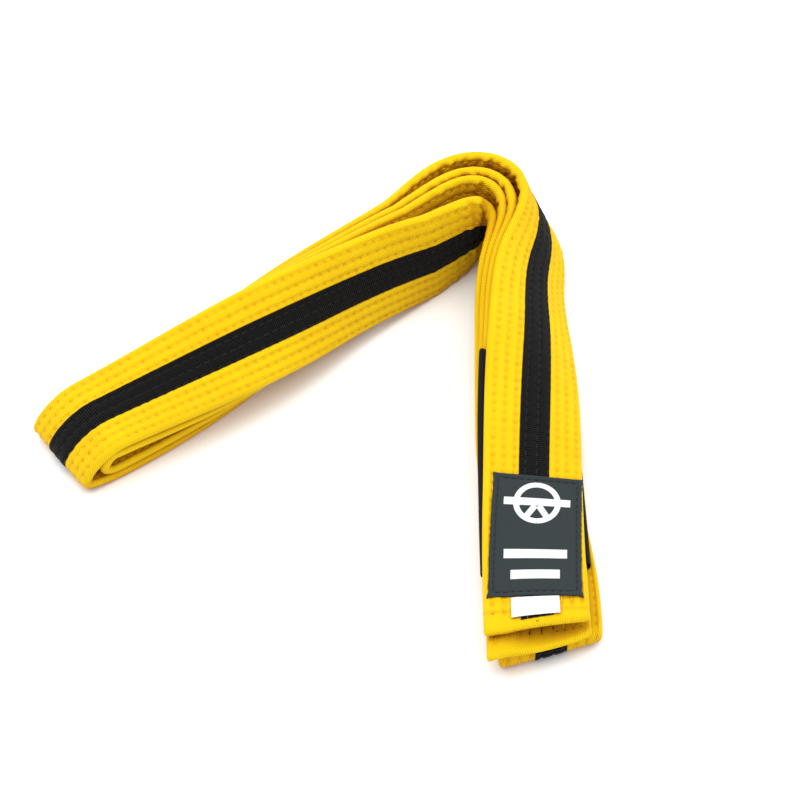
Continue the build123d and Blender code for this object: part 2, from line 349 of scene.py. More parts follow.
def tape_height(u, w):
    """Height of the tape's outer face above the middle of the belt."""
    share, _ = channel_share(w, ALL_ROWS)
    relief = TAPE_PUFF * share - TAPE_HOLE_DEPTH * needle_holes(u, w) - TAPE_SINK
    relief = relief + pinch(u, 1) * pucker(u, w, 1) * share * 0.7
    return HALF_THICKNESS + TAPE_RISE + relief


# ---- meshes ----
PLY_PITCH, PLY_HALF_WIDTH, PLY_HALF_THICKNESS = 0.65, 17.5, 0.28
STITCH_LIFT, STITCH_DIP = 0.02, 0.30
STITCH_SLANT, STITCH_OFFSET = 0.035, 0.06


def make_mesh(name, points, faces, uvs=None, shade=None):
    """A mesh object from points in millimetres and faces as index rows; uvs holds one per corner."""
    mesh = bpy.data.meshes.new(name)
    mesh.from_pydata((points * MM).tolist(), [], faces)
    mesh.polygons.foreach_set("use_smooth", np.ones(len(mesh.polygons), bool))
    if uvs is not None:
        layer = mesh.uv_layers.new(name="UVMap")
        layer.data.foreach_set("uv", np.asarray(uvs, np.float32).ravel())
    if shade is not None:
        attribute = mesh.attributes.new("shade", "FLOAT", "POINT")
        attribute.data.foreach_set("value", np.asarray(shade, np.float32))
    mesh.update()
    thing = bpy.data.objects.new(name, mesh)
    bpy.context.scene.collection.objects.link(thing)
    return thing


def signed_volume(points, faces):
    quads = np.array([face for face in faces if len(face) == 4])
    a, b, c, d = (points[quads[:, i]] for i in range(4))
    return float(np.sum(np.cross(b - a, c - a) * a) + np.sum(np.cross(c - a, d - a) * a))


def tube_mesh(name, points, u, v, shade=None):
    """A closed tube from a grid of points: rows along it, columns round it. u has one value for
    each row, and v one more value than there are columns."""
    rows, cols = points.shape[:2]
    i, j = np.meshgrid(np.arange(rows - 1), np.arange(cols), indexing="ij")
    k = (j + 1) % cols
    quads = np.stack([i * cols + j, i * cols + k, (i + 1) * cols + k, (i + 1) * cols + j], -1)
    corner_u = np.stack([u[i], u[i], u[i + 1], u[i + 1]], -1)
    corner_v = np.stack([v[j], v[j + 1], v[j + 1], v[j]], -1)
    uv = np.stack([corner_u, corner_v], -1).reshape(-1, 2)
    faces = quads.reshape(-1, 4)
    flat = points.reshape(-1, 3)
    flipped = signed_volume(flat, faces) < 0
    if flipped:
        faces = faces[:, ::-1]
        uv = uv.reshape(-1, 4, 2)[:, ::-1].reshape(-1, 2)
    faces = faces.tolist()
    caps = [list(range(cols))[::-1], list(range((rows - 1) * cols, rows * cols))]
    for cap in caps:
        cap = cap[::-1] if flipped else cap
        half = cols // 2
        for a in range(half - 1):
            face = [cap[a], cap[a + 1], cap[cols - 2 - a], cap[cols - 1 - a]]
            faces.append(face)
            row = cap[0] // cols
            uv = np.vstack([uv, [[u[row], v[index % cols]] for index in face]])
    return make_mesh(name, flat, faces, uv, shade)


def cover_section():
    """Places round the cover's section, as (w, side, share of the half thickness at an edge)."""
    rows = ALL_ROWS
    flat = HALF_WIDTH - EDGE_RADIUS
    across = [flat]
    for upper, lower in zip([flat, *rows[::-1]], [*rows[::-1], -flat]):
        gap = upper - lower
        shares = (0.12, 0.35, 0.65, 0.88, 1.0) if gap > 2 else (1.0,)
        across += [upper - gap * share for share in shares]
    angles = [math.pi / 2 * i / 5 for i in range(1, 5)]
    edge = [flat + EDGE_RADIUS * math.sin(angle) for angle in angles]
    upper = [*edge[::-1], *across, *[-w for w in edge]]
    return [HALF_WIDTH, *upper, -HALF_WIDTH], upper[::-1]


def end_rounding(u, reach):
    """1 along the belt, falling to 0 round its two ends."""
    near = np.clip(np.minimum(u, BELT_LENGTH - u) / reach, 0, 1)
    return np.sqrt(np.clip(1 - (1 - near) ** 2, 0, 1))


def belt_stations(step):
    """Places along the belt, in step with its stitches and closer together on the top run and at
    the two ends."""
    top = np.arange(4 * step, TOP_RUN_END, step)
    middle = np.concatenate([top, np.arange(top[-1] + step, BELT_LENGTH - 3.0, 2 * step)])
    end = np.array([0.0, 0.1, 0.3, 0.6, 1.0, 1.5, 2.2])
    return np.concatenate([end, middle, BELT_LENGTH - end[::-1]])


def hem_seam(w):
    """How far from the belt's end the stitch line across its hem lies: further at one edge."""
    return HEM_SEAM + HEM_SLANT * (w + HALF_WIDTH)


def hem_groove(u, w):
    """The groove of the stitch line across each hem, and a crease above it in the label end."""
    seam = np.abs(np.minimum(u, BELT_LENGTH - u) - hem_seam(w))
    crease_share = ease((-w - 6.5) / 3.0) * ease((w + 19.0) / 5.0)
    crease = crease_share * np.exp(-(((u - CREASE_PLACE - CREASE_SLANT * w) / 0.7) ** 2))
    return HEM_DEPTH * np.exp(-((seam / 0.5) ** 2)) + CREASE_DEPTH * crease


def cover_mesh():
    """The yellow cover: quilted along its rows, flat under the tape and rounded at its two ends."""
    striped, plain = cover_section()
    w = np.array(striped + plain)
    side = np.array([1.0] * len(striped) + [-1.0] * len(plain))
    u = belt_stations(STITCH / 6)
    grid_u, grid_w = np.meshgrid(u, w, indexing="ij")
    sewn = ease((np.minimum(grid_u, BELT_LENGTH - grid_u) - HEM_LENGTH) / 2)
    height = np.where(
        side > 0,
        cover_height(grid_u, grid_w, 1, sewn),
        cover_height(grid_u, grid_w, -1, sewn),
    )
    height = np.maximum(height - hem_groove(grid_u, grid_w), 0)
    under_tape = (np.abs(grid_w) < TAPE_HALF_WIDTH - 0.4) & (side > 0)
    taped = (grid_u > HEM_LENGTH + 1) & (grid_u < BELT_LENGTH - HEM_LENGTH - 1)
    height = np.where(under_tape & taped, HALF_THICKNESS - TAPE_BED, height)
    rounding = end_rounding(grid_u, 1.8)
    points = on_belt(grid_u, grid_w * (0.96 + 0.04 * rounding), side * height * rounding)
    # Painted shade: this attribute darkens the cover's colour in the needle holes and along the hem
    # seam groove and the crease, where shade falls.
    shade = np.clip(0.45 * needle_holes(grid_u, grid_w) * sewn + 2.2 * hem_groove(grid_u, grid_w), 0, 1)
    path = points[len(u) // 2]
    steps = np.linalg.norm(np.diff(np.vstack([path, path[:1]]), axis=0), axis=1)
    v = np.concatenate([[0.0], np.cumsum(steps)])
    return tube_mesh("quilted_cover", points, u, v, shade.ravel())


def strip_mesh(name, u, w, low, high):
    """A flat strip between two heights: w across it, low and high its two faces' heights."""
    grid_u, grid_w = np.meshgrid(u, w, indexing="ij")
    top = on_belt(grid_u, grid_w, high(grid_u, grid_w))
    bottom = on_belt(grid_u, grid_w, low(grid_u, grid_w))
    points = np.concatenate([top, bottom[:, ::-1]], axis=1)
    v = np.concatenate([w, w[::-1], w[:1]])
    return tube_mesh(name, points, u, v)


def tape_mesh():
    """The black tape: puffed between its rows and ribbed across, with slightly wavy edges."""
    half = TAPE_HALF_WIDTH
    w = np.array([half, half - 0.12, 5.3, 4.4, 3.6, 2.8, 1.3, -0.2, -1.0, -1.8, -3.2, -4.6, -5.4,
                  0.12 - half, -half])
    rounded = 0.16 * (np.abs(w) == half)
    u = np.arange(HEM_LENGTH - 2.2, BELT_LENGTH - HEM_LENGTH + 1.5, 0.45)

    def waved(grid_u, grid_w):
        return np.sin(2 * math.pi * grid_u / STITCH) * 0.10 * (np.abs(grid_w) > half - 0.2)

    def high(grid_u, grid_w):
        rib = 0.035 * np.cos(2 * math.pi * grid_u / 0.9)
        return tape_height(grid_u, grid_w) - rounded + rib + waved(grid_u, grid_w) * 0.3

    def low(grid_u, grid_w):
        return tape_height(grid_u, grid_w) - TAPE_THICKNESS

    return strip_mesh("ribbed_tape", u, w, low, high)


def ply_mesh(number):
    """One of the three cotton plies inside the cover."""
    rise = (number - 2) * PLY_PITCH
    w = np.linspace(PLY_HALF_WIDTH, -PLY_HALF_WIDTH, 15)
    u = np.arange(HEM_LENGTH, BELT_LENGTH - HEM_LENGTH, 3.0)
    return strip_mesh(
        f"cotton_ply_{number}", u, w,
        lambda grid_u, grid_w: np.full_like(grid_w, rise - PLY_HALF_THICKNESS),
        lambda grid_u, grid_w: np.full_like(grid_w, rise + PLY_HALF_THICKNESS),
    )


def stitches_mesh(name, starts, radius=0.2):
    """Rows of separate stitches. starts holds (u, w, direction u, direction w, length, height, side)
    for each row, where height is a function of (u, w) for the face that the stitches lie on."""
    rings, corners = 7, 6
    share = np.linspace(0, 1, rings)
    arch = np.sin(math.pi * share)
    thick = np.clip(arch * 2.2, 0.25, 1)
    angle = np.arange(corners) * 2 * math.pi / corners
    points = []
    for u0, w0, along_u, along_w, length, height, side in starts:
        along_u, along_w = (np.broadcast_to(part, u0.shape)[:, None] for part in (along_u, along_w))
        u = u0[:, None] + along_u * length * share
        w = w0[:, None] + along_w * length * share
        lift = height(u, w) + STITCH_LIFT - STITCH_DIP * (1 - arch) ** 2
        off_w = radius * thick[None, :, None] * np.cos(angle) * along_u[..., None]
        off_u = radius * thick[None, :, None] * np.cos(angle) * along_w[..., None]
        off_t = radius * thick[None, :, None] * np.sin(angle)
        shape = (len(u0), rings, corners)
        points.append(on_belt(
            np.broadcast_to(u[..., None] - off_u, shape),
            np.broadcast_to(w[..., None] + off_w, shape),
            np.broadcast_to(side * (lift[..., None] + off_t), shape),
        ).reshape(-1, 3))
    points = np.vstack(points)
    count = len(points) // (rings * corners)
    i, j = np.meshgrid(np.arange(rings - 1), np.arange(corners), indexing="ij")
    k = (j + 1) % corners
    quads = np.stack(
        [i * corners + j, i * corners + k, (i + 1) * corners + k, (i + 1) * corners + j], -1
    ).reshape(-1, 4)
    base = np.arange(count) * rings * corners
    faces = (quads[None] + base[:, None, None]).reshape(-1, 4)
    if signed_volume(points, faces) < 0:
        faces = faces[:, ::-1]
        cap_order = 1
    else:
        cap_order = -1
    ends = np.stack([np.arange(corners)[::cap_order], np.arange(corners)[::-cap_order]])
    ends[1] += (rings - 1) * corners
    caps = (ends[None] + base[:, None, None]).reshape(-1, corners)
    return make_mesh(name, points, faces.tolist() + caps.tolist())


def row_starts(w, side, height, length=3.3):
    """One row of stitches along the belt on one face."""
    u0 = np.arange(2 * STITCH, BELT_LENGTH - 2 * STITCH, STITCH) + (STITCH - length) / 2
    return u0, np.full_like(u0, w - STITCH_OFFSET), 1.0, STITCH_SLANT, length, height, side


def line_starts(ends, length, height, side, pitch):
    """Stitches along a straight line on one face, from one (u, w) end to the other."""
    (u0, w0), (u1, w1) = ends
    whole = math.hypot(u1 - u0, w1 - w0)
    along_u, along_w = (u1 - u0) / whole, (w1 - w0) / whole
    place = np.arange(0, whole - length, pitch)
    return u0 + along_u * place, w0 + along_w * place, along_u, along_w, length, height, side


# ---- label, tab and rank bar ----
LABEL_TOP, LABEL_BOTTOM = 399.0, 454.3
LABEL_HALF_WIDTH = 17.8
LABEL_CENTRE_TOP, LABEL_CENTRE_BOTTOM = -1.65, 0.45
LABEL_BORDER = 2.3
LABEL_LIFT, LABEL_THICKNESS = 0.52, 0.38
LABEL_FOLD, LABEL_GROOVE = 0.26, 0.50
GROOVE_INSET = LABEL_BORDER - 0.35
TAB_START, TAB_STOP = 454.8, 463.0
TAB_BEND = (455.0, 457.2)
TAB_HALF_WIDTH, TAB_CENTRE = 9.1, 0.5
TAB_REST, TAB_HALF_THICKNESS, TAB_CURL = 0.58, 0.24, 0.30
TAB_SKEW, TAB_SLANT = 0.075, 0.02
BAR_LEFT, BAR_RIGHT = (338.0, 439.6), (370.0, 434.8)
SLEEVE_INNER, SLEEVE_WALL, SLEEVE_SIDE = 0.5, 0.35, 0.7


def place_on(run, s, w):
    """Belt coordinate of the place on a run that lies at distance s along the guide."""
    rows = np.where(CHAIN[:, SHARES_AT + RUNS.index(run)] == 1)[0]
    order = rows[np.argsort(CHAIN[rows, 0])]
    lean = np.interp(s, CHAIN[order, 0], CHAIN[order, 3])
    return np.interp(s - lean * w, CHAIN[order, 0], CHAIN_U[order])


def label_place(x, y):
    """Belt coordinates of a place on the label: x to its right and y up from its lower edge."""
    share = np.clip(y / (LABEL_BOTTOM - LABEL_TOP), 0, 1)
    centre = LABEL_CENTRE_BOTTOM + (LABEL_CENTRE_TOP - LABEL_CENTRE_BOTTOM) * share
    w = centre - x
    return place_on("D", LABEL_BOTTOM - y, w), w


def label_rest(x, y):
    """Height of the label's underside above the middle of the belt."""
    length = LABEL_BOTTOM - LABEL_TOP
    edge = np.minimum(LABEL_HALF_WIDTH - np.abs(x), np.minimum(y, length - y))
    bow = 0.10 * np.cos(x / 7.0) + 0.10 * np.sin(y / 6.5 + 1.0)
    return HALF_THICKNESS + LABEL_LIFT + bow * ease(edge / 8) - 0.14 * (1 - ease(edge / 5))


def label_face(x, y):
    """Height of the label's outer face above the middle of the belt."""
    length = LABEL_BOTTOM - LABEL_TOP
    edge = np.minimum(LABEL_HALF_WIDTH - np.abs(x), np.minimum(y, length - y))
    folded = LABEL_FOLD * (1 - ease((edge - GROOVE_INSET) / 0.7))
    groove = LABEL_GROOVE * np.exp(-(((edge - GROOVE_INSET) / 0.45) ** 2))
    rounded = 0.22 * (1 - np.sqrt(np.clip(edge / 0.6, 0, 1)))
    return label_rest(x, y) + LABEL_THICKNESS + folded - groove - rounded


def sheet_on_label(name, x, y, low, high):
    """A closed thin sheet on the label, from two grids of places and its two faces' heights."""
    u, w = label_place(x, y)
    points = np.concatenate([on_belt(u, w, high), on_belt(u, w, low)[:, ::-1]], axis=1)
    v = np.concatenate([x[0], x[0, ::-1], x[0, :1]])
    return tube_mesh(name, points, y[:, 0], v)


def label_mesh():
    length = LABEL_BOTTOM - LABEL_TOP
    inset = np.array([0.0, 0.15, 0.4, 0.9, 1.4, 1.7, 2.0, 2.3, 2.7, 3.3, 4.5, 6.5, 9.0, 12.0, 15.0])
    x = np.concatenate([inset - LABEL_HALF_WIDTH, [0.0], (LABEL_HALF_WIDTH - inset)[::-1]])
    y = np.concatenate([inset, np.arange(17.0, 40.0, 1.5), (length - inset)[::-1]])
    grid_y, grid_x = np.meshgrid(y, x, indexing="ij")
    high, low = label_face(grid_x, grid_y), label_rest(grid_x, grid_y)
    from_corner = np.hypot(LABEL_HALF_WIDTH - np.abs(grid_x), np.minimum(grid_y, length - grid_y))
    ear = 0.75 * np.exp(-((from_corner / 1.1) ** 2))
    ripple = 0.14 * np.sin(grid_y * 1.9) * (np.abs(grid_x) > LABEL_HALF_WIDTH - 0.3)
    moved_x = grid_x + np.sign(grid_x) * (0.6 * ear + ripple)
    below = 0.10 * np.sin(grid_x * 1.7) * (grid_y < 0.3)
    moved_y = grid_y + np.where(grid_y < length / 2, -ear, 0.4 * ear) + below
    return sheet_on_label("label_patch", moved_x, moved_y, low, high)


def stripe_on_label(name, path, half_width):
    """A flat raised stripe woven into the label along a path of (x, y) places."""
    path = np.array(path, float)
    along = np.gradient(path, axis=0)
    along /= np.linalg.norm(along, axis=1)[:, None]
    off = np.stack([-along[:, 1], along[:, 0]], -1)
    across = np.array([1, 0.93, 0.4, -0.4, -0.93, -1]) * half_width
    x = path[:, :1] + off[:, :1] * across
    y = path[:, 1:] + off[:, 1:] * across
    face = label_face(x, y)
    raised = face + np.where(np.abs(across) < half_width * 0.95, 0.14, 0.05)
    u, w = label_place(x, y)
    points = np.concatenate([on_belt(u, w, raised), on_belt(u, w, face - 0.1)[:, ::-1]], axis=1)
    steps = np.linalg.norm(np.diff(path, axis=0), axis=1)
    v = np.concatenate([across, across[::-1], across[:1]])
    return tube_mesh(name, points, np.concatenate([[0.0], np.cumsum(steps)]), v)


def straight(start, stop, count=12):
    return np.linspace(start, stop, count)


def looped_mesh(name, points, u, v):
    """A closed ring from a grid of points whose rows and columns both meet themselves again."""
    rows, cols = points.shape[:2]
    i, j = np.meshgrid(np.arange(rows), np.arange(cols), indexing="ij")
    i_next, k = (i + 1) % rows, (j + 1) % cols
    faces = np.stack([i * cols + j, i * cols + k, i_next * cols + k, i_next * cols + j], -1)
    corner_u = np.stack([u[i], u[i], u[i + 1], u[i + 1]], -1)
    corner_v = np.stack([v[j], v[j + 1], v[j + 1], v[j]], -1)
    uv = np.stack([corner_u, corner_v], -1).reshape(-1, 4, 2)
    faces = faces.reshape(-1, 4)
    flat = points.reshape(-1, 3)
    if signed_volume(flat, faces) < 0:
        faces, uv = faces[:, ::-1], uv[:, ::-1]
    return make_mesh(name, flat, faces.tolist(), uv.reshape(-1, 2))


def tab_mesh():
    """The folded ribbon tab: two layers that turn back at its free edge."""
    length = TAB_STOP - TAB_START
    along = np.concatenate([np.linspace(0, length - 0.8, 27), length - 0.8 + straight(0.15, 0.8, 5)])
    x = TAB_HALF_WIDTH * np.array([-1, -0.985, -0.8, -0.6, -0.4, -0.2, 0, 0.2, 0.4, 0.6, 0.8, 0.985, 1])
    grid_a, grid_x = np.meshgrid(along, x, indexing="ij")
    w = TAB_CENTRE - grid_x
    s = TAB_START + grid_a * (1 + TAB_SKEW * w / TAB_HALF_WIDTH) + TAB_SLANT * w
    u = place_on("D", s, w)
    rest = HALF_THICKNESS + TAB_REST + TAB_CURL * (grid_a / length) ** 2 - 0.06 * np.cos(grid_x / 2.6)
    fold = np.clip(1 - ((grid_a - length + 0.6) / 0.62).clip(0, 1) ** 2, 0.02, 1)
    half = TAB_HALF_THICKNESS * np.sqrt(fold)
    points = np.concatenate([on_belt(u, w, rest + half), on_belt(u, w, rest - half)[:, ::-1]], axis=1)
    v = np.concatenate([x, x[::-1], x[:1]])
    return tube_mesh("ribbon_tab", points, along, v)


def sleeve_mesh():
    """The black sleeve round run C: its outer face, then its inner face, closed at both ends."""
    striped, plain = cover_section()
    w = np.array(striped[::2] + plain[::2])
    side = np.array([1.0] * len(striped[::2]) + [-1.0] * len(plain[::2]))
    share_right = (HALF_WIDTH - w) / (2 * HALF_WIDTH)
    start = BAR_LEFT[0] + (BAR_RIGHT[0] - BAR_LEFT[0]) * share_right
    stop = BAR_LEFT[1] + (BAR_RIGHT[1] - BAR_LEFT[1]) * share_right
    along = np.linspace(0, 1, 60)[:, None]
    s = start + (stop - start) * along
    rings, lengths = [], []
    for grow, rows in ((SLEEVE_INNER + SLEEVE_WALL, s), (SLEEVE_INNER, s[::-1])):
        stretch = 1 + (grow + SLEEVE_SIDE) / HALF_WIDTH
        grid_w = np.broadcast_to(w * stretch, rows.shape)
        height = side * (edge_profile(w) + grow * np.sqrt(edge_profile(w) / HALF_THICKNESS))
        u = place_on("C", rows, grid_w)
        rings.append(on_belt(u, grid_w, np.broadcast_to(height, rows.shape)))
        lengths.append(rows[:, 0])
    points = np.concatenate(rings)
    u = np.concatenate([*lengths, lengths[0][:1]])
    steps = np.linalg.norm(np.diff(np.vstack([points[0], points[0][:1]]), axis=0), axis=1)
    return looped_mesh("bar_sleeve", points, u, np.concatenate([[0.0], np.cumsum(steps)]))


# ---- materials ----
def new_material(name, roughness, sheen=0.0, specular=0.12):
    """A material and its node tree, with the constants set on the shader's own sockets."""
    material = bpy.data.materials.new(name)
    material.use_nodes = True
    tree = material.node_tree
    shader = tree.nodes["Principled BSDF"]
    shader.inputs["Roughness"].default_value = roughness
    shader.inputs["Sheen Weight"].default_value = sheen
    shader.inputs["Specular IOR Level"].default_value = specular
    return material, tree, shader


def calc(tree, operation, first, second=0.0, third=0.0):
    node = tree.nodes.new("ShaderNodeMath")
    node.operation = operation
    for socket, value in zip(node.inputs, (first, second, third)):
        if isinstance(value, (int, float)):
            socket.default_value = value
        else:
            tree.links.new(value, socket)
    return node.outputs[0]


def mixed(tree, factor, low, high):
    node = tree.nodes.new("ShaderNodeMix")
    node.data_type = "RGBA"
    for socket, value in ((node.inputs[0], factor), (node.inputs[6], low), (node.inputs[7], high)):
        if isinstance(value, (int, float)):
            socket.default_value = value
        elif isinstance(value, tuple):
            socket.default_value = (*value, 1.0)
        else:
            tree.links.new(value, socket)
    return node.outputs[2]


def noise(tree, scale, detail):
    node = tree.nodes.new("ShaderNodeTexNoise")
    node.inputs["Scale"].default_value = scale
    node.inputs["Detail"].default_value = detail
    place = tree.nodes.new("ShaderNodeTexCoord")
    tree.links.new(place.outputs["Object"], node.inputs["Vector"])
    return node.outputs["Fac"]


def cloth_axes(tree):
    """The cloth's own coordinates in millimetres: along it and across it."""
    place = tree.nodes.new("ShaderNodeUVMap")
    place.uv_map = "UVMap"
    parts = tree.nodes.new("ShaderNodeSeparateXYZ")
    tree.links.new(place.outputs["UV"], parts.inputs[0])
    return parts.outputs["X"], parts.outputs["Y"]


def ridges(tree, u, v, angle, pitch, wobble=None):
    """Even ridges, from 0 to 1, that run at an angle to the cloth's length."""
    across_u, across_v = math.sin(angle), -math.cos(angle)
    place = calc(tree, "MULTIPLY_ADD", u, across_u, calc(tree, "MULTIPLY", v, across_v))
    if wobble is not None:
        place = calc(tree, "MULTIPLY_ADD", wobble, 0.35, place)
    wave = calc(tree, "SINE", calc(tree, "MULTIPLY", place, 2 * math.pi / pitch))
    return calc(tree, "MULTIPLY_ADD", wave, 0.5, 0.5)


def add_bump(tree, shader, height, distance, strength=1.0):
    node = tree.nodes.new("ShaderNodeBump")
    node.inputs["Strength"].default_value = strength
    node.inputs["Distance"].default_value = distance * MM
    tree.links.new(height, node.inputs["Height"])
    tree.links.new(node.outputs["Normal"], shader.inputs["Normal"])


def twill_material(name, light, dark, hollow_shade_colour, pitch=0.85, depth=0.42):
    """Cotton twill: diagonal wales crossed by finer yarns, with slubs and uneven dye. Its colour also
    has
    painted shade: darker in the wale valleys, the needle holes and the creases, and deepest in hollows
    where little light gets in."""
    material, tree, shader = new_material(name, 0.85, 0.02)
    u, v = cloth_axes(tree)
    wobble = noise(tree, 900.0, 2.0)
    wales = ridges(tree, u, v, math.radians(-35), pitch, wobble)
    yarns = ridges(tree, u, v, math.radians(62), 0.52, wobble)
    fuzz = noise(tree, 3500.0, 4.0)
    height = calc(tree, "MULTIPLY_ADD", yarns, 0.35, wales)
    height = calc(tree, "MULTIPLY_ADD", fuzz, 0.45, height)
    patches = noise(tree, 45.0, 3.0)
    # Painted shade: the colour darkens in the wale valleys and where the shade attribute marks needle
    # holes and creases; the noise patches add uneven dye.
    shade = tree.nodes.new("ShaderNodeAttribute")
    shade.attribute_name = "shade"
    painted_valley_shade = calc(tree, "MULTIPLY", calc(tree, "SUBTRACT", 1.0, wales), 0.78)
    deep = calc(tree, "MULTIPLY_ADD", shade.outputs["Fac"], 0.85, painted_valley_shade)
    deep = calc(tree, "MULTIPLY_ADD", calc(tree, "SUBTRACT", patches, 0.5), 0.5, deep)
    # Painted shade in hollows: where ambient occlusion finds little open air, the colour goes towards
    # the hollow shade colour.
    open_air = tree.nodes.new("ShaderNodeAmbientOcclusion")
    open_air.samples = 6
    open_air.inputs["Distance"].default_value = 14 * MM
    painted_hollow_shade = calc(tree, "MULTIPLY", calc(tree, "SUBTRACT", 1.0, open_air.outputs["AO"]), 1.3)
    dye_and_painted_shade = mixed(tree, deep, light, dark)
    tree.links.new(mixed(tree, painted_hollow_shade, dye_and_painted_shade, hollow_shade_colour), shader.inputs["Base Color"])
    rough = calc(tree, "MULTIPLY_ADD", fuzz, 0.2, 0.72)
    tree.links.new(rough, shader.inputs["Roughness"])
    add_bump(tree, shader, height, depth, 0.8)
    return material


def tape_material(name, colour, lint_and_highlight_colour):
    """Ribbed tape: close ribs across it, broken by fine lengthwise yarns, faintly shiny. Its colour is
    lighter on the rib crests, a painted highlight, and varies with fuzz like lint.
    """
    material, tree, shader = new_material(name, 0.62, 0.02, 0.05)
    u, v = cloth_axes(tree)
    wobble = noise(tree, 700.0, 2.0)
    ribs = ridges(tree, u, v, math.radians(90), 0.9, wobble)
    yarns = ridges(tree, u, v, math.radians(0), 0.42)
    fuzz = noise(tree, 2600.0, 3.0)
    height = calc(tree, "MULTIPLY_ADD", yarns, 0.3, ribs)
    height = calc(tree, "MULTIPLY_ADD", fuzz, 0.5, height)
    # Painted highlight on the rib crests, mixed with random lint from the fuzz.
    lint_and_rib_highlight = calc(tree, "MULTIPLY", calc(tree, "MULTIPLY", ribs, fuzz), 0.75)
    tree.links.new(mixed(tree, lint_and_rib_highlight, colour, lint_and_highlight_colour), shader.inputs["Base Color"])
    rough = calc(tree, "MULTIPLY_ADD", fuzz, 0.3, 0.45)
    tree.links.new(rough, shader.inputs["Roughness"])
    add_bump(tree, shader, height, 0.42, 1.0)
    return material


def woven_material(name, light, dark, pitch, depth=0.08, roughness=0.7):
    """Fine woven cloth: small crossing ridges both ways, with some yarn-to-yarn variation."""
    material, tree, shader = new_material(name, roughness, 0.1)
    u, v = cloth_axes(tree)
    wobble = noise(tree, 1100.0, 2.0)
    warp = ridges(tree, u, v, math.radians(90), pitch, wobble)
    weft = ridges(tree, u, v, math.radians(0), pitch, wobble)
    fuzz = noise(tree, 3000.0, 3.0)
    weave = calc(tree, "MULTIPLY", warp, weft)
    height = calc(tree, "MULTIPLY_ADD", fuzz, 0.4, weave)
    shade = calc(tree, "MULTIPLY_ADD", fuzz, 0.5, calc(tree, "MULTIPLY", weave, 0.6))
    tree.links.new(mixed(tree, shade, dark, light), shader.inputs["Base Color"])
    tree.links.new(calc(tree, "MULTIPLY_ADD", fuzz, 0.25, roughness - 0.12), shader.inputs["Roughness"])
    add_bump(tree, shader, height, depth, 0.7)
    return material


def thread_material(name, light, dark):
    """Sewing thread: fine twisted fibres."""
    material, tree, shader = new_material(name, 0.55, 0.1)
    fibres = noise(tree, 4200.0, 3.0)
    tree.links.new(mixed(tree, fibres, dark, light), shader.inputs["Base Color"])
    tree.links.new(calc(tree, "MULTIPLY_ADD", fibres, 0.3, 0.4), shader.inputs["Roughness"])
    add_bump(tree, shader, fibres, 0.08, 0.6)
    return material


# In each twill the second colour is the painted shade in wale valleys, needle holes and creases, and
# also the deeper dye patches; the third is the painted shade in hollows.
YELLOW_TWILL = twill_material(
    "yellow_twill", (0.98, 0.735, 0.004), (0.88, 0.44, 0.001), (0.64, 0.25, 0.0)
)
# The tape's second colour is the painted highlight on its rib crests, together with lint.
BLACK_TAPE = tape_material("black_tape", (0.0008, 0.0008, 0.0008), (0.042, 0.040, 0.040))
BLACK_TWILL = twill_material(
    "black_twill", (0.012, 0.012, 0.013), (0.005, 0.005, 0.005), (0.003, 0.003, 0.003), 0.7, 0.10
)
RAW_COTTON = woven_material("raw_cotton", (0.80, 0.74, 0.60), (0.62, 0.55, 0.42), 0.9)
CHARCOAL = woven_material("charcoal_damask", (0.042, 0.054, 0.057), (0.014, 0.020, 0.022), 0.34)
WHITE_RIBBON = woven_material("white_ribbon", (0.90, 0.90, 0.89), (0.78, 0.78, 0.78), 0.3, 0.04, 0.5)
WHITE_YARN = woven_material("white_yarn", (0.90, 0.91, 0.92), (0.70, 0.72, 0.74), 0.34, 0.10)
YELLOW_THREAD = thread_material("yellow_thread", (0.95, 0.66, 0.02), (0.80, 0.48, 0.01))
BLACK_THREAD = thread_material("black_thread", (0.020, 0.020, 0.022), (0.004, 0.004, 0.005))
BROWN_THREAD = thread_material("brown_thread", (0.30, 0.15, 0.03), (0.12, 0.05, 0.01))


def finish_piece(piece, material, nodes, body="belt"):
    """Gives a piece its material, attaches it to a body and hides the CAD nodes that it stands for.
    With no body, the piece is left unattached."""
    piece.data.materials.append(material)
    if body:
        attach(piece, body)
    if nodes:
        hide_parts(*nodes)
    return piece


# ---- camera ----
CAMERA_TARGET = (39.13, 10.15, 0.0)
CAMERA_ELEVATION = math.radians(50.48)
CAMERA_DISTANCE = 714.9
CAMERA_LENS = 74.6


def add_camera():
    data = bpy.data.cameras.new("camera")
    data.lens, data.sensor_width = CAMERA_LENS, 36.0
    camera = bpy.data.objects.new("camera", data)
    x, y, z = CAMERA_TARGET
    back = CAMERA_DISTANCE * math.cos(CAMERA_ELEVATION)
    up = CAMERA_DISTANCE * math.sin(CAMERA_ELEVATION)
    camera.location = (x * MM, (y - back) * MM, (z + up) * MM)
    camera.rotation_euler = (math.pi / 2 - CAMERA_ELEVATION, 0, 0)
    bpy.context.scene.collection.objects.link(camera)
    bpy.context.scene.camera = camera


add_camera()

# ---- cover, tape and core ----
cover = finish_piece(cover_mesh(), YELLOW_TWILL, ["twill_cover"])
tape = finish_piece(tape_mesh(), BLACK_TAPE, ["stripe_tape"])
for number in (1, 2, 3):
    finish_piece(ply_mesh(number), RAW_COTTON, [f"core_ply_{number}"])


# ---- stitch rows ----
def striped_face(u, w):
    return cover_height(u, w, 1)


def plain_face(u, w):
    return cover_height(u, w, -1)


def hemmed_face(u, w):
    return edge_profile(w) - 0.16


